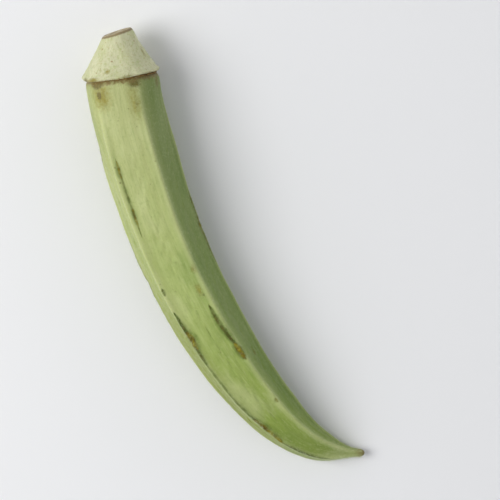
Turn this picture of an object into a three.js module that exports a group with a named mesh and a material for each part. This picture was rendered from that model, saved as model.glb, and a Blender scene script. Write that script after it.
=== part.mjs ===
import * as THREE from 'three';
import { LoftGeometry } from 'three/addons/geometries/LoftGeometry.js';

// A curved okra pod lying on its side, in millimetres, +Z up.
// Its centreline runs from the cut stem end, near -X, to the tip, near +X, and bows towards -Y.
// Two solids meet at the scar ring: the pale stem cap and the ridged green pod.

// Driving dimensions, as distances along the centreline from the cut stem end
const rimAt = 10;
const seamGap = 0.3;
const tipAt = 123.4;

// Radii
const cutRadius = 3.15;
const rimRadius = 8.9;
const rimOverhang = 0.45;
const beakRadius = 0.6;

// The cut face isn't quite square to the stem
const cutSkew = THREE.MathUtils.degToRad(14);
const cutSkewFade = 6;

// Where the ridges stand round the section halfway along the pod, counterclockwise seen from the tip, from
// its left. The first is straight down, so a face between two ridges is on top. They turn a little on the way.
const ridgeAngles = [-90, -16, 60, 126, 197].map(THREE.MathUtils.degToRad);
const ridgeTwist = THREE.MathUtils.degToRad(-10);
const crestRounding = THREE.MathUtils.degToRad(5);
const faceHollow = 0.02;

// Profiles along the pod, each as [distance from the cut end, value]: the heading in degrees to the left of +X,
// the height of the centreline, the radius at the crests, how far the section is ridged, and the cap's radius
const headingProfile = [[0, -27], [10, -24.5], [21, -18], [38, -13.5], [52, -9], [65, -3.5], [80, 2], [93, 8],
	[102, 14.5], [109, 26], [116, 45], [tipAt, 60]];
const heightProfile = [[0, 9.2], [10, 8.7], [35, 9.2], [60, 8.15], [85, 7.85], [98, 6.4], [110, 3.9], [117, 2.65],
	[tipAt, 2.1]];
const crestProfile = [[rimAt, rimRadius - rimOverhang], [14, 8.65], [30, 8.87], [44, 8.67], [57, 8.53], [72, 8.1],
	[87.4, 7.26], [98.3, 6.14], [104, 5.36], [109, 4.45], [113.9, 3.35], [117.2, 2.1], [120, 1.15],
	[122.6, 0.8], [tipAt, beakRadius]];
const ridgedProfile = [[rimAt, 0.2], [20, 0.5], [34, 0.9], [46, 1], [102, 1], [114, 0.75], [tipAt, 0.2]];
const capProfile = [[0, cutRadius], [0.6, 3.6], [3.5, 5.1], [6.6, 6.9], [8.8, 8.3], [9.5, rimRadius],
	[rimAt, rimRadius - 0.25]];

// Resolution of the solids
const podStations = 58;
const capStations = 14;
const faceShares = [0, 0.04, 0.11, 0.22, 0.36, 0.5, 0.64, 0.78, 0.89, 0.96];
const trailStep = 0.25;

// Smooth curve through the points of a profile: a cubic between two points, with slopes from their neighbours
function valueAt(profile, distance) {
	const last = profile.length - 1;
	const clamped = THREE.MathUtils.clamp(distance, profile[0][0], profile[last][0]);
	let index = 0;
	while (index < last - 1 && clamped > profile[index + 1][0]) index += 1;
	const slope = (from, to) => (profile[to][1] - profile[from][1]) / (profile[to][0] - profile[from][0]);
	const span = profile[index + 1][0] - profile[index][0];
	const startSlope = slope(Math.max(index - 1, 0), index + 1);
	const endSlope = slope(index, Math.min(index + 2, last));
	const t = (clamped - profile[index][0]) / span;
	const start = profile[index][1] * (1 + 2 * t) * (1 - t) ** 2 + span * startSlope * t * (1 - t) ** 2;
	const end = profile[index + 1][1] * t * t * (3 - 2 * t) - span * endSlope * t * t * (1 - t);
	return start + end;
}

// The centreline in plan, walked in small steps along its heading
function walkTrail() {
	const trail = [new THREE.Vector2(0, 0)];
	for (let distance = 0; distance < tipAt; distance += trailStep) {
		const heading = THREE.MathUtils.degToRad(valueAt(headingProfile, distance + trailStep / 2));
		const step = new THREE.Vector2(Math.cos(heading), Math.sin(heading)).multiplyScalar(trailStep);
		trail.push(trail[trail.length - 1].clone().add(step));
	}
	return trail;
}

const trail = walkTrail();

// Centre and directions of the cross-section at a distance: along the pod, to its left, and up
function frameAt(distance) {
	const index = Math.min(Math.floor(distance / trailStep), trail.length - 2);
	const place = trail[index].clone().lerp(trail[index + 1], distance / trailStep - index);
	const heading = THREE.MathUtils.degToRad(valueAt(headingProfile, distance));
	const rise = (valueAt(heightProfile, distance + 1) - valueAt(heightProfile, distance - 1)) / 2;
	const along = new THREE.Vector3(Math.cos(heading), Math.sin(heading), rise).normalize();
	const left = new THREE.Vector3(-Math.sin(heading), Math.cos(heading), 0);
	const up = new THREE.Vector3().crossVectors(along, left);
	return { centre: new THREE.Vector3(place.x, place.y, valueAt(heightProfile, distance)), along, left, up };
}

// Radius of the ridged section, as a share of its crest radius, at a share of the way across a face that spans
// an angle: a polygon with rounded crests and slightly hollow faces
function ridgedShare(share, span) {
	const fromCrest = Math.min(share, 1 - share) * span;
	const softened = Math.min(Math.hypot(fromCrest, crestRounding), span / 2);
	const polygon = Math.cos(span / 2 - crestRounding) / Math.cos(span / 2 - softened);
	return polygon - faceHollow * (1 - Math.cos(2 * Math.PI * share)) / 2;
}

// A closed ring of points, counterclockwise seen from the tip. Nothing reaches below the surface it lies on.
function ring(distance, radiusAt, shiftAt) {
	const { centre, along, left, up } = frameAt(distance);
	const twist = ridgeTwist * (distance / tipAt - 0.5);
	const points = [];
	ridgeAngles.forEach((start, ridge) => {
		const span = (ridgeAngles[ridge + 1] ?? ridgeAngles[0] + 2 * Math.PI) - start;
		for (const share of faceShares) {
			const angle = start + share * span + twist;
			const radius = radiusAt(share, span);
			const aside = radius * Math.cos(angle);
			const point = centre.clone().addScaledVector(left, aside).addScaledVector(up, radius * Math.sin(angle));
			point.addScaledVector(along, shiftAt(aside));
			point.z = Math.max(point.z, 0);
			points.push(point);
		}
	});
	return points;
}

// Stations from one distance to another, closer together at both ends
function stations(from, to, count) {
	const places = [];
	for (let index = 0; index < count; index += 1) {
		const t = index / (count - 1);
		places.push(from + (to - from) * (0.5 * t + 0.25 * (1 - Math.cos(Math.PI * t))));
	}
	return places;
}

function makePod() {
	const rings = stations(rimAt + seamGap, tipAt, podStations).map((distance) => {
		const crest = valueAt(crestProfile, distance);
		const ridged = valueAt(ridgedProfile, distance);
		const radiusAt = (share, span) => crest * (1 + ridged * (ridgedShare(share, span) - 1));
		return ring(distance, radiusAt, () => 0);
	});
	const material = new THREE.MeshStandardMaterial({ color: 0x8fa65a, roughness: 0.62, metalness: 0 });
	const pod = new THREE.Mesh(new LoftGeometry(rings, { capStart: true, capEnd: true }), material);
	pod.name = 'pod';
	return pod;
}

function makeStemCap() {
	const rings = stations(0, rimAt, capStations).map((distance) => {
		const radius = valueAt(capProfile, distance);
		const skew = -Math.tan(cutSkew) * Math.max(1 - distance / cutSkewFade, 0);
		return ring(distance, () => radius, (aside) => aside * skew);
	});
	const material = new THREE.MeshStandardMaterial({ color: 0xc9cfa2, roughness: 0.6, metalness: 0 });
	const cap = new THREE.Mesh(new LoftGeometry(rings, { capStart: true, capEnd: true }), material);
	cap.name = 'stem_cap';
	return cap;
}

// The origin is the centre of the base of the whole pod's box
const okraPod = new THREE.Group();
okraPod.add(makePod(), makeStemCap());
const box = new THREE.Box3().setFromObject(okraPod);
const middle = box.getCenter(new THREE.Vector3());
okraPod.children.forEach((mesh) => mesh.position.set(-middle.x, -middle.y, -box.min.z));

export default okraPod;
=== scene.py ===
import itertools
import math

import bpy
import numpy as np
from mathutils import Matrix, Vector


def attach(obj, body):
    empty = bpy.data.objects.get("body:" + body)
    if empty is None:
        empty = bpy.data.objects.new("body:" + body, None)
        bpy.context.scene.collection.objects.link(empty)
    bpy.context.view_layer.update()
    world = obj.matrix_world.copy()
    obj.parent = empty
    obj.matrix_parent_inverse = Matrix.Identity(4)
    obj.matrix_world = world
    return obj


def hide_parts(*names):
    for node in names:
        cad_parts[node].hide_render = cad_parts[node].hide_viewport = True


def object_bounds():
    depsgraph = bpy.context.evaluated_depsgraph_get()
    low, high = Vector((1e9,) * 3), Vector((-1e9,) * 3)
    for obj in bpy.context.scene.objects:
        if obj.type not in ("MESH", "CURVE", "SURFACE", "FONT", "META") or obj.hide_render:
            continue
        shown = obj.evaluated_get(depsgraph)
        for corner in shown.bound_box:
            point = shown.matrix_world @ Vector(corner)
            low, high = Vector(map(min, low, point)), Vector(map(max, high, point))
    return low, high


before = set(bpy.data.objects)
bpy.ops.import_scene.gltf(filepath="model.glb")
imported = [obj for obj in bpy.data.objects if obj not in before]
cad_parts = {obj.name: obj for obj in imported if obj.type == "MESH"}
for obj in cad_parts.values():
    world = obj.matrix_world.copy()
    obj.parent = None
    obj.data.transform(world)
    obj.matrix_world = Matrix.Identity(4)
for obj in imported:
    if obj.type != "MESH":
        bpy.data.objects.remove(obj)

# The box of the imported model, before any piece is added
cad_box = [list(corner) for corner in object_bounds()]

# A curved okra pod lying on its side. Its shape is worked out in millimetres and its meshes are in metres.
MM = 0.001
FULL_TURN = 2 * math.pi

# Driving dimensions, as distances along the centreline from the cut stem end
RIM_AT = 10.0
TIP_AT = 123.4
RIM_RADIUS = 8.9
CUT_RADIUS = 3.15
CUT_CENTRE_HEIGHT = 9.2
CUT_SKEW = math.radians(14)
CUT_SKEW_FADE = 6.0

# The five ridges round the section halfway along the pod, and their turn from end to end
RIDGE_ANGLES = np.radians([-90, -16, 60, 126, 197])
RIDGE_SPANS = np.append(RIDGE_ANGLES[1:], RIDGE_ANGLES[0] + FULL_TURN) - RIDGE_ANGLES
RIDGE_TWIST = math.radians(-10)
CREST_ROUNDING = math.radians(5)
FACE_HOLLOW = 0.02

# The ridges in that order. Right and left are as the camera sees the upper two.
LOWEST_RIDGE = 0
HOLLOW_SIDE_RIDGE = 1
RIGHT_RIDGE = 2
LEFT_RIDGE = 3
OUTER_SIDE_RIDGE = 4

# Profiles along the pod, each as (distance from the cut end, value)
HEADING = [(0, -27), (10, -24.5), (21, -18), (38, -13.5), (52, -9), (65, -3.5), (80, 2), (93, 8),
           (102, 14.5), (109, 26), (116, 45), (TIP_AT, 60)]
HEIGHT = [(0, CUT_CENTRE_HEIGHT), (10, 8.7), (35, 9.2), (60, 8.15), (85, 7.85), (98, 6.4), (110, 3.9),
          (117, 2.65), (TIP_AT, 2.1)]
CREST = [(RIM_AT, 8.45), (14, 8.65), (30, 8.87), (44, 8.67), (57, 8.53), (72, 8.1), (87.4, 7.26),
         (98.3, 6.14), (104, 5.36), (109, 4.45), (113.9, 3.35), (117.2, 2.1), (120, 1.15), (122.6, 0.8),
         (TIP_AT, 0.6)]
RIDGED = [(RIM_AT, 0.2), (20, 0.5), (34, 0.9), (46, 1), (102, 1), (114, 0.75), (TIP_AT, 0.2)]
CAP = [(0, CUT_RADIUS), (0.6, 3.6), (3.5, 5.1), (6.6, 6.9), (8.8, 8.3), (9.5, RIM_RADIUS), (RIM_AT, 8.65)]
TRAIL_STEP = 0.25

# The pod starts tucked under the cap's rim, with a groove where they meet, and ends in a rounded tip
TUCK = 0.9
GROOVE_DEPTH = 0.45
GROOVE_WIDTH = 0.9
TIP_ROUNDING = 0.7
LEAST_RADIUS = 0.02

# Raised cords along the ridges, with a shallow valley on each side
CORD_HEIGHT = 0.3
CORD_WIDTH = 0.55
VALLEY_DEPTH = 0.14
VALLEY_PLACE = 1.8
VALLEY_WIDTH = 0.9
CORD_START = (12, 26)

# Bulges over the seeds, flutes at the neck, and how deep a scar is dented as a share of its half width
SEED_SPACING = 4.8
SEED_HEIGHT = 0.09
SEED_ROW_SHIFT = 2.1
SEED_DRIFT = 1.8
SEEDS_START = (22, 34)
SEEDS_END = (96, 106)
FLUTE_HEIGHT = 0.14
FLUTES_END = (14, 30)
DENT_SHARE = 0.3
LEAST_DENT_WIDTH = 0.4

# All this relief fades where the crest radius is less than this
FULL_RELIEF_RADIUS = 6

# Layers of unevenness: (height, size along the pod, size round it, seed)
POD_LAYERS = [(0.18, 10, 5, 11), (0.05, 4, 2.2, 12), (0.022, 9, 0.55, 13), (0.012, 0.6, 0.6, 14)]
CAP_LAYERS = [(0.16, 3.5, 3.2, 22), (0.05, 1.2, 1.2, 23), (0.06, 5, 0.7, 24)]

# The cut face is dished, as (radius of a ring, width, depth), and the cap's hidden underside closes it, as
# (distance, radius)
FACE_EDGE = 0.12
FACE_DEPTH = 0.16
FACE_RINGS = [(0, 0.8, 0.24), (1.9, 0.4, -0.1), (2.75, 0.3, -0.12)]
CUT_GRAIN = 0.05
CAP_SIDE_START = 0.02
UNDERSIDE = [(10.02, 8.45), (9.95, 8.1), (9.6, 7.7), (9.0, 6.5), (8.8, 0.1)]

# The cap's wavy and nicked rim, and its faint flutes. The rim's noise is read on a circle of its own.
RIM_WAVE = 0.42
NICK_DEPTH = 0.4
RIM_NOISE_RADIUS = 3.0
CAP_FLUTE_HEIGHT = 0.16

# The brown remnant in the groove: its half thickness and how that varies, and how much longer its section
# is along the pod than across. Its noise is read on a circle of its own, too.
RING_RADIUS = 8.04
RING_THICKNESS = 0.17
RING_THICKNESS_CHANGE = 0.11
RING_LONGER = 1.3
RING_ROUGHNESS = 0.35
RING_OFFSET = 0.12
RING_DRIFT = 0.22
RING_NOISE_RADIUS = 8.5
RING_SIDES = 10

# Hairs: how far from a crest they are thicker and longer, how many grow elsewhere, their lengths and half
# thickness, how they lean, how deep they are sunk, and how far they are moved from the points of the mesh
BRISTLY_WIDTH = 0.8
SPARSE_SHARE = 0.3
HAIR_LENGTHS = (0.2, 0.45)
HAIR_EXTRA_LENGTH = 0.25
HAIR_THICKNESS = 0.016
HAIR_EXTRA_THICKNESS = 0.008
HAIR_LEAN_ALONG = (0.1, 0.8)
HAIR_LEAN_ASIDE = 0.3
HAIR_SINK = 0.06
HAIR_SCATTER_ALONG = 0.14
HAIR_SCATTER_ASIDE = 0.06
POD_HAIRS = 9000
CAP_HAIRS = 1600

# Rows of a mesh that stay without hairs at each of its ends
BARE_ROWS = 4

# Resolution of the meshes, and how much closer together the points are at the crests and towards the tip
FACE_COLUMNS = 46
CREST_CROWDING = 0.5
POD_STATIONS = 400
TIP_CROWDING = 0.15
CUT_STATIONS = 34
CAP_STATIONS = 110


# Shape of the pod


def value_at(profile, distance):
    """Smooth curve through the points of a profile, with slopes from their neighbours."""
    at, value = np.array(profile, float).T
    last = len(at) - 1
    clamped = np.clip(distance, at[0], at[last])
    index = np.searchsorted(at[1:-1], clamped)
    before = np.maximum(index - 1, 0)
    after = np.minimum(index + 2, last)
    span = at[index + 1] - at[index]
    start_slope = (value[index + 1] - value[before]) / (at[index + 1] - at[before])
    end_slope = (value[after] - value[index]) / (at[after] - at[index])
    t = (clamped - at[index]) / span
    start = value[index] * (1 + 2 * t) * (1 - t) ** 2 + span * start_slope * t * (1 - t) ** 2
    end = value[index + 1] * t * t * (3 - 2 * t) - span * end_slope * t * t * (1 - t)
    return start + end


def walk_trail():
    """The centreline in plan, walked in small steps along its heading."""
    heading = np.radians(value_at(HEADING, np.arange(0, TIP_AT, TRAIL_STEP) + TRAIL_STEP / 2))
    steps = TRAIL_STEP * np.stack([np.cos(heading), np.sin(heading)], axis=-1)
    return np.vstack([[0, 0], np.cumsum(steps, axis=0)])


TRAIL = walk_trail()


def unit(vectors):
    return vectors / np.linalg.norm(vectors, axis=-1, keepdims=True)


def frame_at(distance):
    """Centre and directions of the cross-section at each distance: along the pod, to its left, and up."""
    walked = np.arange(len(TRAIL)) * TRAIL_STEP
    x = np.interp(distance, walked, TRAIL[:, 0])
    y = np.interp(distance, walked, TRAIL[:, 1])
    heading = np.radians(value_at(HEADING, distance))
    rise = (value_at(HEIGHT, distance + 1) - value_at(HEIGHT, distance - 1)) / 2
    along = unit(np.stack([np.cos(heading), np.sin(heading), rise], axis=-1))
    left = np.stack([-np.sin(heading), np.cos(heading), 0 * heading], axis=-1)
    up = np.cross(along, left)
    return np.stack([x, y, value_at(HEIGHT, distance)], axis=-1), along, left, up


def place(distance, angle, radius, shift=0.0):
    """Points at a distance along the pod, an angle round it and a radius. None reaches below the floor."""
    centre, along, left, up = frame_at(distance)
    turned = angle + RIDGE_TWIST * (distance / TIP_AT - 0.5)
    aside = (radius * np.cos(turned))[..., None]
    lift = (radius * np.sin(turned))[..., None]
    points = centre + left * aside + up * lift + along * np.asarray(shift)[..., None]
    points[..., 2] = np.maximum(points[..., 2], 0)
    return points


def columns():
    """Angle, nearest ridge, turn from its crest and span of the face, for each column of a ring."""
    step = np.arange(FACE_COLUMNS) / FACE_COLUMNS
    share = step - CREST_CROWDING * np.sin(FULL_TURN * step) / FULL_TURN
    angle = (RIDGE_ANGLES[:, None] + share * RIDGE_SPANS[:, None]).ravel()
    ridges = len(RIDGE_ANGLES)
    nearest = (np.arange(ridges)[:, None] + (share >= 0.5)).ravel() % ridges
    turn = (np.where(share < 0.5, share, share - 1) * RIDGE_SPANS[:, None]).ravel()
    span = np.repeat(RIDGE_SPANS, FACE_COLUMNS)
    return angle, nearest, turn, span


def ridged_share(turn, span):
    """Radius of the ridged section as a share of its crest radius."""
    softened = np.minimum(np.hypot(turn, CREST_ROUNDING), span / 2)
    polygon = np.cos(span / 2 - CREST_ROUNDING) / np.cos(span / 2 - softened)
    return polygon - FACE_HOLLOW * (1 - np.cos(FULL_TURN * np.abs(turn) / span)) / 2


def lattice_noise(points, seed):
    """Smooth noise from -1 to 1 between random values, one to each unit of the points' own scale."""
    size = 64
    table = np.random.default_rng(seed).uniform(-1, 1, (size, size, size))
    cell = np.floor(points).astype(int)
    t = points - cell
    t = t * t * (3 - 2 * t)
    total = 0
    for corner in itertools.product((0, 1), repeat=3):
        weight = np.prod(np.where(corner, t, 1 - t), axis=-1)
        i, j, k = np.moveaxis((cell + corner) % size, -1, 0)
        total = total + weight * table[i, j, k]
    return total


def bell(value, width):
    return np.exp(-(value / width) ** 2)


def smooth_step(value, low, high):
    t = np.clip((value - low) / (high - low), 0, 1)
    return t * t * (3 - 2 * t)


# Marks on the skin


# Scars on the ridges: (ridge, start, end, half width, strength, tone). A tone of 0 is dark green, 0.45 is
# dark brown, 0.7 is red brown and 1 is ochre.
SCARS = [
    (LEFT_RIDGE, 27.5, 46, 0.28, 0.6, 0.3),
    (LEFT_RIDGE, 28.0, 33, 0.4, 0.8, 0.85),
    (LEFT_RIDGE, 38.0, 44, 0.36, 0.75, 0.8),
    (LEFT_RIDGE, 58.4, 60.4, 0.36, 0.65, 0.3),
    (LEFT_RIDGE, 64.5, 80, 0.62, 0.9, 0.15),
    (LEFT_RIDGE, 69.0, 75.4, 1.1, 1.0, 0.75),
    (LEFT_RIDGE, 77, 90, 0.44, 0.55, 0.05),
    (LEFT_RIDGE, 86, 99, 0.52, 0.65, 0.1),
    (LEFT_RIDGE, 93.6, 103.6, 0.9, 1.0, 0.85),
    (LEFT_RIDGE, 102, 115, 0.45, 0.75, 0.1),
    (RIGHT_RIDGE, 66.6, 79, 0.62, 0.95, 0.3),
    (RIGHT_RIDGE, 77.2, 82.4, 0.78, 1.0, 0.85),
    (RIGHT_RIDGE, 93.8, 95.2, 0.4, 0.7, 0.95),
    (LOWEST_RIDGE, 27, 38, 0.5, 0.9, 0.55),
    (LOWEST_RIDGE, 68, 88, 0.5, 0.8, 0.3),
    (LOWEST_RIDGE, 92, 99, 0.6, 0.9, 0.7),
    (HOLLOW_SIDE_RIDGE, 40, 60, 0.45, 0.7, 0.3),
    (HOLLOW_SIDE_RIDGE, 46, 53, 0.7, 0.9, 0.7),
    (HOLLOW_SIDE_RIDGE, 80, 92, 0.6, 0.9, 0.8),
    (HOLLOW_SIDE_RIDGE, 101, 110, 0.45, 0.7, 0.2),
    (OUTER_SIDE_RIDGE, 20, 29, 0.6, 0.9, 0.7),
    (OUTER_SIDE_RIDGE, 47, 70, 0.42, 0.7, 0.15),
    (OUTER_SIDE_RIDGE, 55, 61, 0.75, 0.9, 0.6),
    (OUTER_SIDE_RIDGE, 86, 98, 0.6, 0.8, 0.5),
]

# How far the scars of each ridge lie beside its crest along the pod, counterclockwise seen from the tip
SCAR_DRIFTS = [
    [(0, 0.4), (50, -0.5), (90, 0.5), (TIP_AT, 0)],
    [(0, 0), (52, 0.5), (86, -0.4), (TIP_AT, 0)],
    [(0, 0.4), (60, 0.9), (70, 1.0), (80, 0.35), (TIP_AT, 0.2)],
    [(0, -0.6), (30, -1.0), (44, -0.9), (62, -0.2), (TIP_AT, 0)],
    [(0, 0.3), (40, -0.4), (92, 0.4), (TIP_AT, 0)],
]

# Stains: (distance, angle in degrees, half length, half width, strength, tone)
STAINS = [
    (11.0, 125, 1.2, 1.8, 1.3, 0.66),
    (13.4, 122, 1.3, 1.0, 1.2, 0.72),
    (13.6, 119, 3.6, 2.8, 0.85, 1.0),
    (11.6, 64, 1.2, 1.8, 1.0, 0.6),
    (16.0, 68, 5.5, 1.9, 0.6, 0.95),
    (11.2, 170, 1.4, 3.0, 0.6, 0.95),
    (11.0, -40, 0.9, 3.0, 0.9, 0.5),
    (13.4, -30, 2.6, 1.2, 0.7, 0.9),
    (11.2, 236, 1.1, 2.4, 0.9, 0.55),
    (12.3, 10, 1.8, 1.2, 0.8, 0.7),
    (57.0, 64, 1.4, 0.8, 0.6, 0.75),
    (62.4, 70, 2.2, 0.9, 0.66, 0.8),
    (64.0, 67, 0.5, 0.45, 0.6, 0.4),
    (54.0, 84, 0.4, 0.4, 0.6, 0.3),
    (60.4, 108, 0.45, 0.4, 0.55, 0.5),
    (83.0, 20, 1.0, 0.6, 0.8, 0.7),
    (38.0, 160, 0.8, 0.5, 0.7, 0.5),
    (49.0, 232, 1.2, 0.7, 0.8, 0.8),
    (74.0, 158, 0.6, 0.4, 0.7, 0.4),
]

# Stains of the cap, in the same way
CAP_STAINS = [
    (8.0, 105, 0.7, 0.8, 0.8, 1.0),
    (9.6, 128, 0.7, 1.8, 0.9, 0.9),
    (9.7, 148, 0.6, 1.4, 0.9, 0.6),
    (9.6, 74, 0.5, 2.2, 0.7, 0.75),
    (9.7, -30, 0.6, 2.6, 0.9, 0.7),
    (9.5, 228, 0.7, 2.0, 0.8, 0.9),
    (5.2, 14, 1.3, 0.7, 0.7, 0.9),
    (4.0, 196, 1.0, 0.6, 0.7, 0.8),
    (2.4, -50, 1.2, 1.2, 0.7, 0.9),
]


def scar_values(distance, nearest):
    """Half width, strength and tone of the scar on the nearest ridge. It narrows to nothing at its ends."""
    width = np.full(np.broadcast(distance, nearest).shape, 0.01)
    strength = np.zeros(width.shape)
    tone = np.zeros(width.shape)
    for ridge, start, end, wide, strong, hue in SCARS:
        along = np.clip((distance - start) / (end - start), 0, 1)
        value = np.where(nearest == ridge, wide * np.sin(math.pi * along) ** 0.6, 0)
        wider = value > width
        width = np.where(wider, value, width)
        strength = np.where(wider, strong, strength)
        tone = np.where(wider, hue, tone)
    return width, strength, tone


def scar_drift(distance, nearest):
    """How far beside its crest the scar of the nearest ridge lies."""
    drift = np.zeros(np.broadcast(distance, nearest).shape)
    for ridge, profile in enumerate(SCAR_DRIFTS):
        drift = np.where(nearest == ridge, value_at(profile, distance), drift)
    return drift


def stain_values(stains, distance, angle, radius):
    """Strength and tone of the stains at each distance and angle."""
    strength = np.zeros(np.broadcast(distance, angle).shape)
    tone = np.zeros(strength.shape)
    for at, degrees, length, wide, strong, hue in stains:
        turn = (angle - math.radians(degrees) + math.pi) % FULL_TURN - math.pi
        value = strong * np.exp(-((distance - at) / length) ** 2 - (turn * radius / wide) ** 2)
        stronger = value > strength
        strength = np.where(stronger, value, strength)
        tone = np.where(stronger, hue, tone)
    return strength, tone


# Meshes


def make_skin(name, rings, attributes):
    """A closed mesh from rings of points, with a pole at each end and the given values at each point."""
    stations, around, _ = rings.shape
    count = stations * around
    poles = [rings[0].mean(axis=0), rings[-1].mean(axis=0)]
    vertices = np.vstack([rings.reshape(-1, 3), poles]) * MM
    near = np.arange(count - around).reshape(-1, around)
    quads = np.stack([near, np.roll(near, -1, 1), np.roll(near, -1, 1) + around, near + around], axis=-1)
    first = np.arange(around)
    last = first + count - around
    fans = [(count, second, one) for one, second in zip(first, np.roll(first, -1))]
    fans += [(count + 1, one, second) for one, second in zip(last, np.roll(last, -1))]
    mesh = bpy.data.meshes.new(name)
    mesh.from_pydata(vertices.tolist(), [], quads.reshape(-1, 4).tolist() + fans)
    mesh.polygons.foreach_set("use_smooth", [True] * len(mesh.polygons))
    for key, values in attributes.items():
        size = values.shape[2:]
        flat = values.reshape((count,) + size)
        ends = [values[0].mean(axis=0), values[-1].mean(axis=0)]
        flat = np.concatenate([flat, np.array(ends).reshape((2,) + size)])
        kind = "FLOAT_VECTOR" if size else "FLOAT"
        layer = mesh.attributes.new(key, kind, "POINT")
        layer.data.foreach_set("vector" if size else "value", flat.ravel())
    mesh.update()
    piece = bpy.data.objects.new(name, mesh)
    bpy.context.collection.objects.link(piece)
    return piece


def straightened(distance, angle, radius):
    """The place on the skin as if the pod was straight, so that patterns run round it without a seam."""
    shape = np.broadcast(distance, angle, radius).shape
    parts = [distance, radius * np.cos(angle), radius * np.sin(angle)]
    return np.stack([np.broadcast_to(part, shape) for part in parts], axis=-1)


def unevenness(straight, layers):
    """The sum of some layers of noise over the skin."""
    total = 0
    for height, long, wide, seed in layers:
        total = total + height * lattice_noise(straight / [long, wide, wide], seed)
    return total


def seed_bulges(distance, straight, nearest, middle):
    """Uneven bulges in rows along the faces, where middle is 0 at a crest and 1 in the middle of a face."""
    body = smooth_step(distance, *SEEDS_START) * (1 - smooth_step(distance, *SEEDS_END))
    row_start = SEED_ROW_SHIFT * nearest
    drift = SEED_DRIFT * lattice_noise(straight / [9, 8, 8], 17)
    phase = FULL_TURN * distance / SEED_SPACING + row_start + drift
    height = SEED_HEIGHT * (1 + 0.7 * lattice_noise(straight / [6, 5, 5], 18))
    return height * body * smooth_step(middle, 0.35, 0.9) * np.sin(phase)


def pod_relief(distance, straight, nearest, turn, span, crest):
    """How far the skin stands out from the plain ridged form."""
    across = turn * crest
    uneven = unevenness(straight, POD_LAYERS)
    seeds = seed_bulges(distance, straight, nearest, np.abs(turn) / (span / 2))
    valley = VALLEY_DEPTH * bell(np.abs(across) - VALLEY_PLACE, VALLEY_WIDTH)
    cord = (CORD_HEIGHT * bell(across, CORD_WIDTH) - valley) * smooth_step(distance, *CORD_START)
    neck = 1 - smooth_step(distance, *FLUTES_END)
    flutes = FLUTE_HEIGHT * neck * lattice_noise(straight / [30, 1.6, 1.6], 15)
    width = scar_values(distance, nearest)[0]
    from_scar = across - scar_drift(distance, nearest)
    ragged = 1 + lattice_noise(straight / 0.7, 16)
    dents = -DENT_SHARE * width * bell(from_scar, np.maximum(width, LEAST_DENT_WIDTH)) * ragged
    taper = np.clip(crest / FULL_RELIEF_RADIUS, 0.1, 1)
    return (uneven + seeds + cord + flutes + dents) * taper


def make_pod():
    """The ridged capsule, tucked under the cap's rim at its start and rounded off at its tip."""
    t = np.linspace(0, 1, POD_STATIONS)[:, None]
    closer_at_tip = (1 - TIP_CROWDING) * t + TIP_CROWDING * np.sin(math.pi * t / 2)
    distance = RIM_AT - TUCK + (TIP_AT - RIM_AT + TUCK) * closer_at_tip
    angle, nearest, turn, span = columns()
    crest = value_at(CREST, distance)
    groove = GROOVE_DEPTH * bell(distance - RIM_AT, GROOVE_WIDTH)
    to_tip = np.clip((TIP_AT - distance) / TIP_ROUNDING, 0, 1)
    tip_round = np.sqrt(1 - (1 - to_tip) ** 2)
    ridged = value_at(RIDGED, distance)
    plain = crest * (1 + ridged * (ridged_share(turn, span) - 1))
    straight = straightened(distance, angle, crest)
    relief = pod_relief(distance, straight, nearest, turn, span, crest)
    radius = np.maximum((plain + relief - groove) * tip_round, LEAST_RADIUS)
    rings = place(distance + 0 * angle, angle + 0 * distance, radius)
    scar_width, scar_strength, scar_tone = scar_values(distance, nearest)
    stain, stain_tone = stain_values(STAINS, distance, angle, crest)
    attributes = {
        "straight": straight,
        "along": distance + 0 * angle,
        "across": turn * crest,
        "from_scar": turn * crest - scar_drift(distance, nearest),
        "scar_width": scar_width,
        "scar_strength": scar_strength,
        "scar_tone": scar_tone,
        "stain": stain,
        "stain_tone": stain_tone,
    }
    return rings, attributes


def cap_outline():
    """Distances and radii from the middle of the cut face over the rim to the middle of the underside."""
    face = np.linspace(LEAST_RADIUS, CUT_RADIUS - FACE_EDGE, CUT_STATIONS)
    face_at = FACE_DEPTH
    for middle, width, depth in FACE_RINGS:
        face_at = face_at + depth * bell(face - middle, width)
    side_at = np.linspace(CAP_SIDE_START, RIM_AT, CAP_STATIONS)
    side = value_at(CAP, side_at)
    under_at, under = np.array(UNDERSIDE).T
    at = np.concatenate([face_at, side_at, under_at])
    radius = np.concatenate([face, side, under])
    return at, radius


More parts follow.
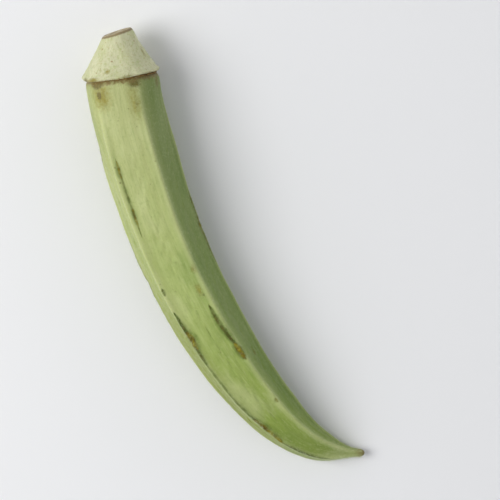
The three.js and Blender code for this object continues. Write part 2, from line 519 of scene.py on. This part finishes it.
def make_cap():
    """The pale cone that ends in the cut stem, with rings on the cut face and a wavy rim."""
    at, radius = cap_outline()
    steps = np.hypot(np.diff(at), np.diff(radius))
    walked = np.append(0, np.cumsum(steps))[:, None]
    at = at[:, None]
    radius = radius[:, None]
    angle, _, turn, span = columns()
    straight = straightened(walked, angle, radius)
    on_face = 1 - smooth_step(walked, CUT_RADIUS - 0.3, CUT_RADIUS + 0.4)
    to_rim = smooth_step(at, 6, RIM_AT)
    round_place = straightened(0 * at, angle, np.full_like(at, RIM_NOISE_RADIUS))
    wave = to_rim * RIM_WAVE * lattice_noise(round_place / [1, 2.2, 2.2], 21)
    uneven = unevenness(straight, CAP_LAYERS)
    grain = CUT_GRAIN * on_face * (lattice_noise(straight / 0.3, 25) + lattice_noise(straight / 0.9, 27))
    flutes = CAP_FLUTE_HEIGHT * smooth_step(at, 2, 8) * np.cos(math.pi * turn / (span / 2))
    nicks = -NICK_DEPTH * to_rim * np.maximum(lattice_noise(round_place / [1, 0.7, 0.7], 26) - 0.35, 0)
    swell = (uneven + flutes + nicks) * (1 - on_face) * smooth_step(radius, 0.5, 3)
    final_radius = np.maximum(radius + swell + 0.5 * wave, LEAST_RADIUS)
    skew = -math.tan(CUT_SKEW) * np.maximum(1 - at / CUT_SKEW_FADE, 0)
    turned = angle + RIDGE_TWIST * (at / TIP_AT - 0.5)
    shift = final_radius * np.cos(turned) * skew + wave + grain
    rings = place(at + 0 * angle, angle + 0 * at, final_radius, shift)
    stain, stain_tone = stain_values(CAP_STAINS, at, angle, radius)
    attributes = {
        "straight": straight,
        "along": at + 0 * angle,
        "walked": walked + 0 * angle,
        "face_radius": radius + 0 * angle,
        "stain": stain,
        "stain_tone": stain_tone,
    }
    return rings, attributes


def make_scar_ring():
    """The ragged brown remnant in the groove between the cap's rim and the pod."""
    angle = columns()[0]
    around = np.linspace(0, FULL_TURN, RING_SIDES, endpoint=False)[:, None]
    circle = np.full_like(around, RING_NOISE_RADIUS)
    spot = straightened(0 * around, angle, circle)
    thick = RING_THICKNESS + RING_THICKNESS_CHANGE * lattice_noise(spot / 0.8, 31)
    drift = RING_DRIFT * lattice_noise(spot / [1, 2.4, 2.4], 32)
    side_spot = straightened(around, angle, circle)
    rough = 1 + RING_ROUGHNESS * lattice_noise(side_spot / 0.35, 33)
    distance = RIM_AT + RING_OFFSET + drift + thick * RING_LONGER * rough * np.cos(around)
    radius = RING_RADIUS + thick * rough * np.sin(around)
    return place(distance, angle + 0 * around, radius)


def make_fuzz(name, rings, across, count, seed):
    """Short pale hairs, each a closed spike sunk into the skin. None is kept that would reach the floor."""
    random = np.random.default_rng(seed)
    stations, around, _ = rings.shape
    tries = count * 3
    row = random.integers(BARE_ROWS, stations - BARE_ROWS, tries)
    column = random.integers(0, around, tries)
    chance = SPARSE_SHARE + (1 - SPARSE_SHARE) * bell(across[row, column], BRISTLY_WIDTH)
    kept = random.uniform(0, 1, tries) < chance
    row, column = row[kept][:count], column[kept][:count]
    root = rings[row, column]
    along = unit(rings[row + 2, column] - rings[row - 2, column])
    aside = unit(rings[row, (column + 2) % around] - rings[row, column - 2])
    out = unit(np.cross(aside, along))
    total = len(root)
    bristly = bell(across[row, column], BRISTLY_WIDTH)
    length = random.uniform(*HAIR_LENGTHS, total) + HAIR_EXTRA_LENGTH * bristly
    lean = random.uniform(*HAIR_LEAN_ALONG, (total, 1)) * along
    lean = lean + random.normal(0, HAIR_LEAN_ASIDE, (total, 1)) * aside
    direction = unit(out + lean)
    thick = HAIR_THICKNESS + HAIR_EXTRA_THICKNESS * bristly
    moved_along = random.uniform(-HAIR_SCATTER_ALONG, HAIR_SCATTER_ALONG, (total, 1))
    moved_aside = random.uniform(-HAIR_SCATTER_ASIDE, HAIR_SCATTER_ASIDE, (total, 1))
    root = root - HAIR_SINK * out + moved_along * along + moved_aside * aside
    corners = []
    for turn in np.arange(3) * FULL_TURN / 3:
        corners.append(root + thick[:, None] * (math.cos(turn) * along + math.sin(turn) * aside))
    points = np.stack(corners + [root + direction * length[:, None]], axis=1)
    points = points[points[..., 2].min(axis=1) > 0]
    first = np.arange(len(points))[:, None] * 4
    faces = [first + np.array(corner) for corner in ((0, 1, 2), (0, 3, 1), (1, 3, 2), (2, 3, 0))]
    mesh = bpy.data.meshes.new(name)
    mesh.from_pydata((points.reshape(-1, 3) * MM).tolist(), [], np.concatenate(faces).tolist())
    piece = bpy.data.objects.new(name, mesh)
    bpy.context.collection.objects.link(piece)
    return piece


def make_loop(name, rings):
    """A closed ring-shaped mesh from rings of points that close on themselves both ways."""
    sides, around, _ = rings.shape
    index = np.arange(sides * around).reshape(sides, around)
    next_side = np.roll(index, -1, 0)
    quads = np.stack([index, next_side, np.roll(next_side, -1, 1), np.roll(index, -1, 1)], axis=-1)
    mesh = bpy.data.meshes.new(name)
    mesh.from_pydata((rings.reshape(-1, 3) * MM).tolist(), [], quads.reshape(-1, 4).tolist())
    mesh.polygons.foreach_set("use_smooth", [True] * len(mesh.polygons))
    piece = bpy.data.objects.new(name, mesh)
    bpy.context.collection.objects.link(piece)
    return piece


# Materials


def srgb(red, green, blue):
    """A colour on the usual scale of 0 to 255, as the linear colour that a shader takes."""
    values = np.array([red, green, blue]) / 255
    linear = np.where(values <= 0.04045, values / 12.92, ((values + 0.055) / 1.055) ** 2.4)
    return (*linear.tolist(), 1.0)


NECK_GREEN = srgb(180, 184, 124)
MIDDLE_GREEN = srgb(174, 188, 112)
LOWER_GREEN = srgb(142, 162, 70)
TIP_GREEN = srgb(122, 140, 62)
DEEP_GREEN = srgb(100, 128, 44)
PALE_GREEN = srgb(200, 206, 146)
# Painted shade on the pod's two sides: olive on the outer side, deep green on the hollow side
PAINTED_SHADE_OLIVE = srgb(130, 138, 54)
PAINTED_SHADE_GREEN = srgb(88, 116, 30)
BRUISE_GREEN = srgb(92, 112, 36)
DARK_GREEN = srgb(66, 84, 20)
DARK_BROWN = srgb(80, 72, 14)
RED_BROWN = srgb(102, 86, 8)
OCHRE = srgb(138, 126, 10)
SEAM_BROWN = srgb(122, 100, 52)
SPECK_OLIVE = srgb(100, 96, 42)
BEAK_BROWN = srgb(116, 96, 54)

CAP_CREAM = srgb(204, 204, 165)
CAP_SHADE = srgb(184, 188, 136)
CAP_GREEN = srgb(178, 190, 122)
CAP_VEIN = srgb(172, 178, 118)
CAP_LIGHT = srgb(216, 214, 178)
CAP_TAN = srgb(180, 166, 112)
SPECK_BROWN = srgb(150, 124, 74)
SCUFF_TAN = srgb(164, 142, 88)
RIM_BROWN = srgb(132, 108, 60)
LIP_BROWN = srgb(124, 104, 70)
CUT_TAN = srgb(182, 168, 128)
CUT_BROWN = srgb(116, 92, 60)
CUT_RAY = srgb(150, 134, 92)
CUT_PITH = srgb(198, 190, 160)
CUT_PALE = srgb(188, 176, 144)

RING_BROWN = srgb(96, 70, 34)
RING_TAN = srgb(150, 124, 70)
HAIR_PALE = srgb(214, 220, 176)
HAIR_GREEN = srgb(190, 200, 140)
FLOOR_DIM = srgb(241, 241, 241)
FLOOR_BRIGHT = srgb(244, 244, 244)
FLOOR_GLOW = (0.96, 0.97, 1, 1)

# Colours from the neck to the tip, and colours of scars and stains by their tone
POD_GREENS = [(0.0, NECK_GREEN), (0.42, MIDDLE_GREEN), (0.78, LOWER_GREEN), (1.0, TIP_GREEN)]
STAIN_TONES = [(0.0, DARK_GREEN), (0.45, DARK_BROWN), (0.7, RED_BROWN), (1.0, OCHRE)]

# Specks: (cells to the mm, share of the cells left empty, greatest size as a share of a cell)
POD_SPECKS = [(0.42, 0.7, 0.13), (0.9, 0.82, 0.16)]
CAP_SPECKS = [(0.45, 0.5, 0.2), (1.0, 0.72, 0.24)]

# Rings of the cut face, as (radius, half width, strength), the radius of its pale middle, and how far over
# the skin its lip is from its middle
CUT_RINGS = [(1.7, 0.55, 0.75), (2.85, 0.3, 0.6)]
PITH_RADIUS = 1.3
LIP_AT = 3.6


class Graph:
    """Adds nodes to a new material. A value is a number, a colour or the output of another node."""

    def __init__(self, name):
        self.material = bpy.data.materials.new(name)
        self.material.use_nodes = True
        self.tree = self.material.node_tree
        self.shader = self.tree.nodes["Principled BSDF"]

    def feed(self, socket, value):
        if isinstance(value, bpy.types.NodeSocket):
            self.tree.links.new(value, socket)
        else:
            socket.default_value = value

    def add(self, kind, inputs, output=0, **settings):
        node = self.tree.nodes.new(kind)
        for key, value in settings.items():
            setattr(node, key, value)
        for key, value in inputs.items():
            self.feed(node.inputs[key], value)
        return node.outputs[output]

    def attribute(self, name, output="Fac"):
        return self.add("ShaderNodeAttribute", {}, output, attribute_name=name)

    def math(self, operation, first, second=0.0):
        return self.add("ShaderNodeMath", {0: first, 1: second}, operation=operation)

    def away(self, value, middle):
        """How far the value is from a middle, to either side."""
        return self.math("ABSOLUTE", self.math("SUBTRACT", value, middle))

    def stretch(self, vector, factors):
        return self.add("ShaderNodeVectorMath", {0: vector, 1: factors}, operation="MULTIPLY")

    def noise(self, vector, scale=1.0, detail=2.0, roughness=0.5):
        inputs = {"Vector": vector, "Scale": scale, "Detail": detail, "Roughness": roughness}
        return self.add("ShaderNodeTexNoise", inputs)

    def centred(self, noise, height):
        """Noise made to vary round 0, by about this height from its lowest to its highest."""
        return self.math("MULTIPLY", self.math("SUBTRACT", noise, 0.5), height)

    def step(self, value, low, high, start=0.0, end=1.0):
        inputs = {"Value": value, "From Min": low, "From Max": high, "To Min": start, "To Max": end}
        return self.add("ShaderNodeMapRange", inputs, interpolation_type="SMOOTHSTEP")

    def mix(self, share, first, second):
        return self.add("ShaderNodeMix", {0: share, 6: first, 7: second}, 2, data_type="RGBA")

    def tint(self, base, value, low, high, strength, colour):
        """The base turned towards a colour, by up to this strength, as the value goes from low to high."""
        return self.mix(self.step(value, low, high, 0, strength), base, colour)

    def parts(self, vector):
        node = self.tree.nodes.new("ShaderNodeSeparateXYZ")
        self.feed(node.inputs[0], vector)
        return node.outputs

    def ramp(self, value, stops):
        node = self.tree.nodes.new("ShaderNodeValToRGB")
        elements = node.color_ramp.elements
        while len(elements) < len(stops):
            elements.new(0.5)
        for element, (at, colour) in zip(elements, stops):
            element.position = at
            element.color = colour
        self.feed(node.inputs[0], value)
        return node.outputs[0]

    def bump(self, height, distance, strength, normal=None):
        inputs = {"Height": height, "Distance": distance, "Strength": strength}
        if normal is not None:
            inputs["Normal"] = normal
        return self.add("ShaderNodeBump", inputs)

    def finish(self, colour, roughness, normal, **constants):
        self.feed(self.shader.inputs["Base Color"], colour)
        self.feed(self.shader.inputs["Roughness"], roughness)
        self.feed(self.shader.inputs["Normal"], normal)
        for key, value in constants.items():
            self.shader.inputs[key.replace("_", " ")].default_value = value
        return self.material


def speckle(graph, straight, scale, share, size):
    """Strength of small uneven specks, at most one to a cell."""
    bend = graph.stretch(graph.noise(straight, scale=3.0, detail=3), (0.5, 0.5, 0.5))
    bent = graph.add("ShaderNodeVectorMath", {0: straight, 1: bend}, operation="ADD")
    cells = graph.tree.nodes.new("ShaderNodeTexVoronoi")
    cells.inputs["Scale"].default_value = scale
    graph.feed(cells.inputs["Vector"], bent)
    chance, large, strong = graph.parts(cells.outputs["Color"])[:3]
    chosen = graph.step(chance, share, share + 0.01)
    reach = graph.math("SUBTRACT", graph.math("MULTIPLY", large, size), cells.outputs["Distance"])
    inside = graph.step(reach, -0.02, 0.04)
    strength = graph.math("MULTIPLY", inside, graph.step(strong, 0, 1, 0.25, 0.8))
    return graph.math("MULTIPLY", chosen, strength)


def add_stains(graph, colour, blotch, shade):
    """The colour with ragged stains over it, where the mesh's own values put them."""
    stain = graph.attribute("stain")
    ragged = graph.step(graph.math("ADD", stain, graph.centred(blotch, 0.9)), 0.15, 0.95)
    patch = graph.math("MULTIPLY", ragged, graph.step(stain, 0.03, 0.3, 0, 0.85))
    tone = graph.math("ADD", graph.attribute("stain_tone"), graph.math("MULTIPLY", shade, 0.5))
    return graph.mix(patch, colour, graph.ramp(tone, STAIN_TONES))


def add_scars(graph, colour, straight, shade):
    """The colour with scars over it, each a bruise round a brown core, and the core's strength."""
    from_scar = graph.math("ABSOLUTE", graph.attribute("from_scar"))
    widths_away = graph.math("DIVIDE", from_scar, graph.attribute("scar_width"))
    ragged = graph.noise(graph.stretch(straight, (0.8, 2.2, 2.2)), detail=4, roughness=0.7)
    edge = graph.math("ADD", widths_away, graph.centred(ragged, 1.6))
    patchy = graph.noise(graph.stretch(straight, (0.45, 0.2, 0.2)), detail=3, roughness=0.6)
    patchy = graph.step(patchy, 0.3, 0.6, 0.45, 1)
    strength = graph.math("MULTIPLY", graph.attribute("scar_strength"), patchy)
    bruise = graph.math("MULTIPLY", strength, graph.step(edge, 2.1, 0.5, 0, 0.88))
    core = graph.math("MULTIPLY", strength, graph.step(edge, 1.0, 0.3))
    tone = graph.math("ADD", graph.attribute("scar_tone"), shade)
    colour = graph.mix(bruise, colour, BRUISE_GREEN)
    return graph.mix(core, colour, graph.ramp(tone, STAIN_TONES)), core


def pod_greens(graph, straight, along, mottle):
    """Greens from neck to tip with fine streaks, painted highlight on the crests and painted shade on each
    side.
    """
    share = graph.add("ShaderNodeMapRange", {"Value": along, "From Min": RIM_AT, "From Max": TIP_AT})
    base = graph.ramp(share, POD_GREENS)
    broad = graph.noise(graph.stretch(straight, (0.06, 0.16, 0.16)), detail=3)
    base = graph.tint(base, broad, 0.5, 0.78, 0.5, DEEP_GREEN)
    base = graph.tint(base, broad, 0.48, 0.25, 0.5, PALE_GREEN)
    fibre = graph.noise(graph.stretch(straight, (0.16, 2.4, 2.4)), detail=3, roughness=0.6)
    base = graph.tint(base, fibre, 0.5, 0.72, 0.2, DEEP_GREEN)
    base = graph.tint(base, fibre, 0.5, 0.3, 0.22, PALE_GREEN)
    aside = graph.parts(straight)[1]
    # Painted shade: the side on the camera's right darkened to a deep green, as if in shadow
    base = graph.tint(base, aside, 2.5, 7.0, 0.7, PAINTED_SHADE_GREEN)
    # Painted shade: the outer side darkened to olive, more so towards the tip
    outer_side_shade = graph.step(aside, -2.5, -6.5)
    lower_part = graph.step(along, 34, 80, 0.18, 0.66)
    base = graph.mix(graph.math("MULTIPLY", outer_side_shade, lower_part), base, PAINTED_SHADE_OLIVE)
    base = graph.tint(base, mottle, 0.52, 0.75, 0.25, DEEP_GREEN)
    base = graph.tint(base, mottle, 0.45, 0.25, 0.22, PALE_GREEN)
    # Painted highlight: the crests paled along each ridge
    from_crest = graph.math("ABSOLUTE", graph.attribute("across"))
    return graph.tint(base, from_crest, 1.1, 0.1, 0.45, PALE_GREEN)


def pod_material():
    graph = Graph("pod_skin")
    straight = graph.attribute("straight", "Vector")
    along = graph.attribute("along")
    mottle = graph.noise(straight, scale=1.6, detail=3, roughness=0.65)
    blotch = graph.noise(straight, scale=1.3, detail=4, roughness=0.65)
    shade = graph.noise(graph.stretch(straight, (0.7, 1.2, 1.2)), detail=3, roughness=0.6)
    shade = graph.centred(shade, 1.8)

    colour = pod_greens(graph, straight, along, mottle)
    colour, scar_core = add_scars(graph, colour, straight, shade)
    colour = add_stains(graph, colour, blotch, shade)
    seam = graph.math("ADD", along, graph.centred(blotch, 3.0))
    colour = graph.tint(colour, seam, RIM_AT + 1.6, RIM_AT + 0.4, 0.9, SEAM_BROWN)
    for speck in POD_SPECKS:
        colour = graph.mix(speckle(graph, straight, *speck), colour, SPECK_OLIVE)
    colour = graph.tint(colour, along, TIP_AT - 3.5, TIP_AT - 0.4, 0.75, BEAK_BROWN)

    roughness = graph.step(mottle, 0.3, 0.7, 0.4, 0.58)
    roughness = graph.math("ADD", roughness, graph.math("MULTIPLY", scar_core, 0.3))
    fine = graph.noise(graph.stretch(straight, (1.2, 5.5, 5.5)), detail=3, roughness=0.6)
    normal = graph.bump(fine, 0.00012, 0.5)
    normal = graph.bump(graph.noise(straight, scale=7, detail=2), 0.00006, 0.5, normal)
    return graph.finish(colour, roughness, normal, Sheen_Weight=0.06, Sheen_Roughness=0.4,
                        Subsurface_Weight=0.12, Subsurface_Radius=(0.7, 1.0, 0.35),
                        Subsurface_Scale=0.0008, Specular_IOR_Level=0.32)


def cap_creams(graph, straight, broad, mottle, wave):
    """Cream with green patches, darker and paler fibres, brown specks and a scuffed rim."""
    along = graph.attribute("along")
    base = graph.tint(CAP_CREAM, broad, 0.42, 0.7, 0.8, CAP_SHADE)
    green = graph.noise(straight, scale=0.5, detail=3, roughness=0.6)
    base = graph.tint(base, green, 0.52, 0.72, 0.5, CAP_GREEN)
    fibre = graph.noise(graph.stretch(straight, (0.3, 2.2, 2.2)), detail=4, roughness=0.65)
    base = graph.tint(base, fibre, 0.5, 0.7, 0.75, CAP_VEIN)
    base = graph.tint(base, fibre, 0.46, 0.3, 0.6, CAP_LIGHT)
    base = graph.tint(base, mottle, 0.53, 0.7, 0.6, CAP_TAN)
    for speck in CAP_SPECKS:
        base = graph.mix(speckle(graph, straight, *speck), base, SPECK_BROWN)
    scuffed = graph.math("ADD", graph.math("ADD", along, graph.centred(green, 3.6)), wave)
    base = graph.tint(base, scuffed, RIM_AT - 0.4, RIM_AT + 0.6, 0.55, SCUFF_TAN)
    base = add_stains(graph, base, mottle, wave)
    return graph.tint(base, graph.math("ADD", along, wave), RIM_AT - 0.25, RIM_AT + 0.25, 0.85, RIM_BROWN)


def cut_tans(graph, straight, broad, mottle, wave):
    """A pale middle, brown rings round it and faint rays."""
    sideways = graph.stretch(straight, (0, 1, 1))
    outward = graph.add("ShaderNodeVectorMath", {0: sideways}, operation="NORMALIZE")
    rays = graph.noise(graph.stretch(outward, (9, 9, 9)), detail=3, roughness=0.7)
    cut = graph.tint(CUT_TAN, rays, 0.4, 0.62, 0.7, CUT_RAY)
    uneven = graph.math("ADD", graph.attribute("face_radius"), graph.centred(broad, 2.2))
    uneven = graph.math("ADD", uneven, graph.math("MULTIPLY", wave, 0.25))
    for radius, width, strength in CUT_RINGS:
        cut = graph.tint(cut, graph.away(uneven, radius), width, 0.02, strength, CUT_BROWN)
    cut = graph.tint(cut, uneven, PITH_RADIUS, PITH_RADIUS - 0.7, 0.7, CUT_PITH)
    return graph.tint(cut, mottle, 0.45, 0.7, 0.5, CUT_PALE)


def cap_material():
    graph = Graph("cap_skin")
    straight = graph.attribute("straight", "Vector")
    walked = graph.attribute("walked")
    broad = graph.noise(straight, scale=0.22, detail=3)
    mottle = graph.noise(straight, scale=1.9, detail=4, roughness=0.7)
    wave = graph.centred(mottle, 1.6)

    side = cap_creams(graph, straight, broad, mottle, wave)
    cut = cut_tans(graph, straight, broad, mottle, wave)
    edge = graph.math("ADD", walked, graph.math("MULTIPLY", wave, 0.25))
    colour = graph.mix(graph.step(edge, LIP_AT, LIP_AT - 0.2), side, cut)
    lip = graph.math("ADD", walked, graph.math("MULTIPLY", wave, 0.3))
    colour = graph.tint(colour, graph.away(lip, LIP_AT), 0.4, 0.1, 0.85, LIP_BROWN)

    roughness = graph.step(mottle, 0.3, 0.7, 0.5, 0.68)
    fine = graph.noise(graph.stretch(straight, (1.2, 5.0, 5.0)), detail=3, roughness=0.6)
    normal = graph.bump(fine, 0.00012, 0.5)
    return graph.finish(colour, roughness, normal, Sheen_Weight=0.12, Sheen_Roughness=0.4,
                        Subsurface_Weight=0.12, Subsurface_Radius=(0.9, 1.0, 0.5),
                        Subsurface_Scale=0.0008, Specular_IOR_Level=0.35)


def ring_material():
    graph = Graph("scar_brown")
    place_in_space = graph.add("ShaderNodeTexCoord", {}, "Object")
    mottle = graph.noise(place_in_space, scale=900, detail=4, roughness=0.7)
    colour = graph.tint(RING_BROWN, mottle, 0.35, 0.65, 1, RING_TAN)
    normal = graph.bump(graph.noise(place_in_space, scale=3000, detail=2), 0.0001, 0.6)
    return graph.finish(colour, 0.8, normal, Specular_IOR_Level=0.25)


def hair_material():
    graph = Graph("hair")
    place_in_space = graph.add("ShaderNodeTexCoord", {}, "Object")
    shade = graph.noise(place_in_space, scale=400, detail=2)
    colour = graph.tint(HAIR_PALE, shade, 0.35, 0.65, 1, HAIR_GREEN)
    normal = graph.bump(shade, 0.00002, 0.2)
    return graph.finish(colour, 0.5, normal, Specular_IOR_Level=0.3)


# Pieces


def own_middle(*ring_sets):
    """Middle of the box round these rings, in plan."""
    points = np.vstack([rings.reshape(-1, 3) for rings in ring_sets])
    return (points.min(axis=0) + points.max(axis=0))[:2] / 2


pod_rings, pod_attributes = make_pod()
cap_rings, cap_attributes = make_cap()
ring_rings = make_scar_ring()
cad_middle = (np.array(cad_box[0]) + np.array(cad_box[1]))[:2] / 2 / MM
offset = np.append(cad_middle - own_middle(pod_rings, cap_rings), 0)

pod = make_skin("pod_skin", pod_rings + offset, pod_attributes)
pod.data.materials.append(pod_material())
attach(pod, "root")
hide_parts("pod")

cap = make_skin("cap_skin", cap_rings + offset, cap_attributes)
cap.data.materials.append(cap_material())
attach(cap, "root")
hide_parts("stem_cap")

scar_ring = make_loop("scar_ring", ring_rings + offset)
scar_ring.data.materials.append(ring_material())
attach(scar_ring, "root")

hair = hair_material()
fuzz = make_fuzz("fuzz", pod_rings + offset, pod_attributes["across"], POD_HAIRS, seed=41)
fuzz.data.materials.append(hair)
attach(fuzz, "root")

# The side of the cap, without its cut face and the edge of its rim
side_start = CUT_STATIONS + 6
side_end = CUT_STATIONS + CAP_STATIONS - 4
cap_side = cap_rings[side_start:side_end] + offset
far_from_crests = np.full(cap_side.shape[:2], RIM_RADIUS)
cap_fuzz = make_fuzz("cap_fuzz", cap_side, far_from_crests, CAP_HAIRS, seed=43)
cap_fuzz.data.materials.append(hair)
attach(cap_fuzz, "root")


# Stage


# The floor in metres: how far it is flat, how far it rises, and from where to where its glow grows
FLOOR_FLAT = 1.2
FLOOR_RISE = 1.2
FLOOR_INNER_RINGS = [0.2, 0.45]
FLOOR_STATIONS = 24
FLOOR_SIDES = 96
GLOW_FROM = 0.5
GLOW_TO = 1.5
BACKDROP_GLOW = 0.42


def make_floor():
    """A wide round floor that curves up at its edge and glows a little there."""
    turn = np.linspace(0, math.pi / 2, FLOOR_STATIONS)
    radius = np.concatenate([FLOOR_INNER_RINGS, FLOOR_FLAT + FLOOR_RISE * np.sin(turn)])
    height = np.concatenate([[0, 0], FLOOR_RISE * (1 - np.cos(turn))])
    around = np.linspace(0, FULL_TURN, FLOOR_SIDES, endpoint=False)
    x = radius[:, None] * np.cos(around)
    y = radius[:, None] * np.sin(around)
    vertices = np.stack([x, y, height[:, None] + 0 * around], axis=-1).reshape(-1, 3)
    index = np.arange(len(vertices)).reshape(x.shape)
    ahead = np.roll(index, -1, 1)
    quads = np.stack([index[:-1], index[1:], ahead[1:], ahead[:-1]], axis=-1).reshape(-1, 4)
    mesh = bpy.data.meshes.new("floor")
    mesh.from_pydata(vertices.tolist(), [], quads.tolist() + [index[0].tolist()])
    mesh.polygons.foreach_set("use_smooth", [True] * len(mesh.polygons))
    floor = bpy.data.objects.new("floor", mesh)
    bpy.context.collection.objects.link(floor)
    graph = Graph("floor")
    place_on_floor = graph.add("ShaderNodeTexCoord", {}, "Object")
    cloud = graph.noise(place_on_floor, scale=6, detail=3)
    colour = graph.mix(cloud, FLOOR_DIM, FLOOR_BRIGHT)
    normal = graph.bump(graph.noise(place_on_floor, scale=1500, detail=2), 0.00005, 0.2)
    from_middle = graph.add("ShaderNodeVectorMath", {0: place_on_floor}, 1, operation="LENGTH")
    glow = graph.step(from_middle, GLOW_FROM, GLOW_TO, 0, BACKDROP_GLOW)
    graph.feed(graph.shader.inputs["Emission Strength"], glow)
    graph.finish(colour, 0.75, normal, Specular_IOR_Level=0.3, Emission_Color=FLOOR_GLOW)
    mesh.materials.append(graph.material)
    return floor


make_floor()

# The camera looks nearly straight down. Its picture is turned so that the pod runs down to the right, at
# this angle below the horizontal, and is this wide in mm at the pod.
CHORD_DROP = math.radians(58.7)
LEAN_BACK = math.radians(8)
LEAN_ASIDE = math.radians(5)
VIEW_WIDTH = 114.1

# How far the middle of the picture lies to the right of the cut stem end, and below it
CUT_TO_MIDDLE_RIGHT = 30.4
CUT_TO_MIDDLE_DOWN = 49.8

LENS = 180.0
SENSOR = 36.0

to_camera = Vector((-math.sin(LEAN_BACK), math.sin(LEAN_ASIDE), math.cos(LEAN_BACK))).normalized()
x_axis = Vector((1, 0, 0))
pod_along = (x_axis - to_camera * to_camera.dot(x_axis)).normalized()
pod_left = to_camera.cross(pod_along)
image_right = math.cos(CHORD_DROP) * pod_along + math.sin(CHORD_DROP) * pod_left
image_down = math.sin(CHORD_DROP) * pod_along - math.cos(CHORD_DROP) * pod_left
cut_centre = Vector((offset[0], offset[1], CUT_CENTRE_HEIGHT))
target = (cut_centre + CUT_TO_MIDDLE_RIGHT * image_right + CUT_TO_MIDDLE_DOWN * image_down) * MM


def make_camera():
    data = bpy.data.cameras.new("camera")
    data.lens = LENS
    data.sensor_width = SENSOR
    data.clip_start = 0.01
    camera = bpy.data.objects.new("camera", data)
    bpy.context.collection.objects.link(camera)
    turn = Matrix((image_right, -image_down, to_camera)).transposed().to_4x4()
    away = VIEW_WIDTH * MM * LENS / SENSOR
    camera.matrix_world = Matrix.Translation(target + to_camera * away) @ turn
    bpy.context.scene.camera = camera


def make_softbox(name, direction, away, size, power):
    """A square area light that faces the pod from a direction."""
    data = bpy.data.lights.new(name, "AREA")
    data.size = size
    data.energy = power
    light = bpy.data.objects.new(name, data)
    light.location = target + direction.normalized() * away
    light.rotation_euler = direction.to_track_quat("Z", "Y").to_euler()
    bpy.context.collection.objects.link(light)


make_camera()
up_axis = Vector((0, 0, 1))
from_left = -0.7 * image_right - 0.1 * image_down + 0.75 * up_axis
from_right = 0.9 * image_right + 0.2 * image_down + 0.9 * up_axis
make_softbox("key", from_left, away=0.8, size=0.5, power=4.6)
make_softbox("fill", from_right, away=0.9, size=0.7, power=0.5)

WORLD_COLOUR = (0.93, 0.95, 1.0, 1)
WORLD_STRENGTH = 0.31
world = bpy.data.worlds.new("studio")
world.use_nodes = True
background = world.node_tree.nodes["Background"]
background.inputs["Color"].default_value = WORLD_COLOUR
background.inputs["Strength"].default_value = WORLD_STRENGTH
bpy.context.scene.world = world
bpy.context.scene.view_settings.view_transform = "Standard"
